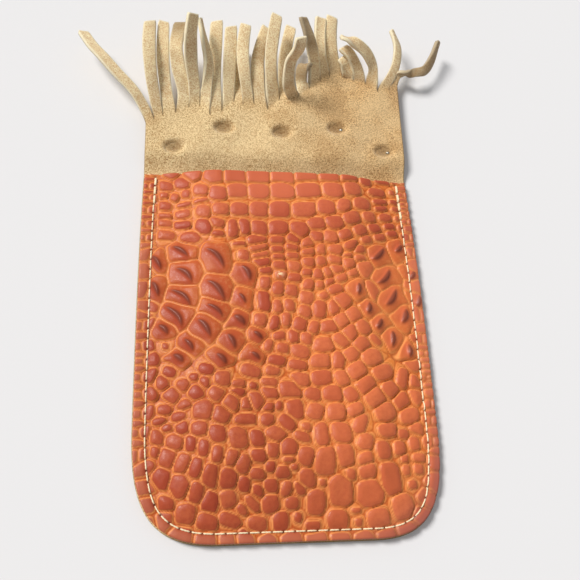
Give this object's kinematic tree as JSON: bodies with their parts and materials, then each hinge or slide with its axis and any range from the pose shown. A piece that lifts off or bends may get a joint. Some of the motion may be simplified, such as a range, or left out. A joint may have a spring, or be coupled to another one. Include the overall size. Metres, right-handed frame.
{
  "type": "phone pouch",
  "caption": "Flat leather phone pouch with an embossed scale front, an open mouth and a fringed suede flap, lying on its back.",
  "frame": {"origin": "middle of the back panel's underside, between the sides and between the mouth and the round bottom", "axes": "+Y from the round bottom towards the fringe, +Z out of the back through the embossed front"},
  "size_m": [0.183, 0.2508, 0.0372],
  "materials": {
    "embossed_leather": "semi-gloss rust brown, embossed scales with orange grooves",
    "suede": "matt tan split suede with a short nap",
    "thread": "cream waxed thread",
    "stud_metal": "aged nickel"
  },
  "bodies": {
    "root": {"front_panel": "embossed_leather", "back_and_fringed_flap": "suede", "needle_thread": "thread", "bobbin_thread": "thread", "flap_stud_1": "stud_metal", "flap_stud_2": "stud_metal", "flap_stud_3": "stud_metal", "flap_stud_4": "stud_metal", "flap_stud_5": "stud_metal"}
  },
  "joints": []
}
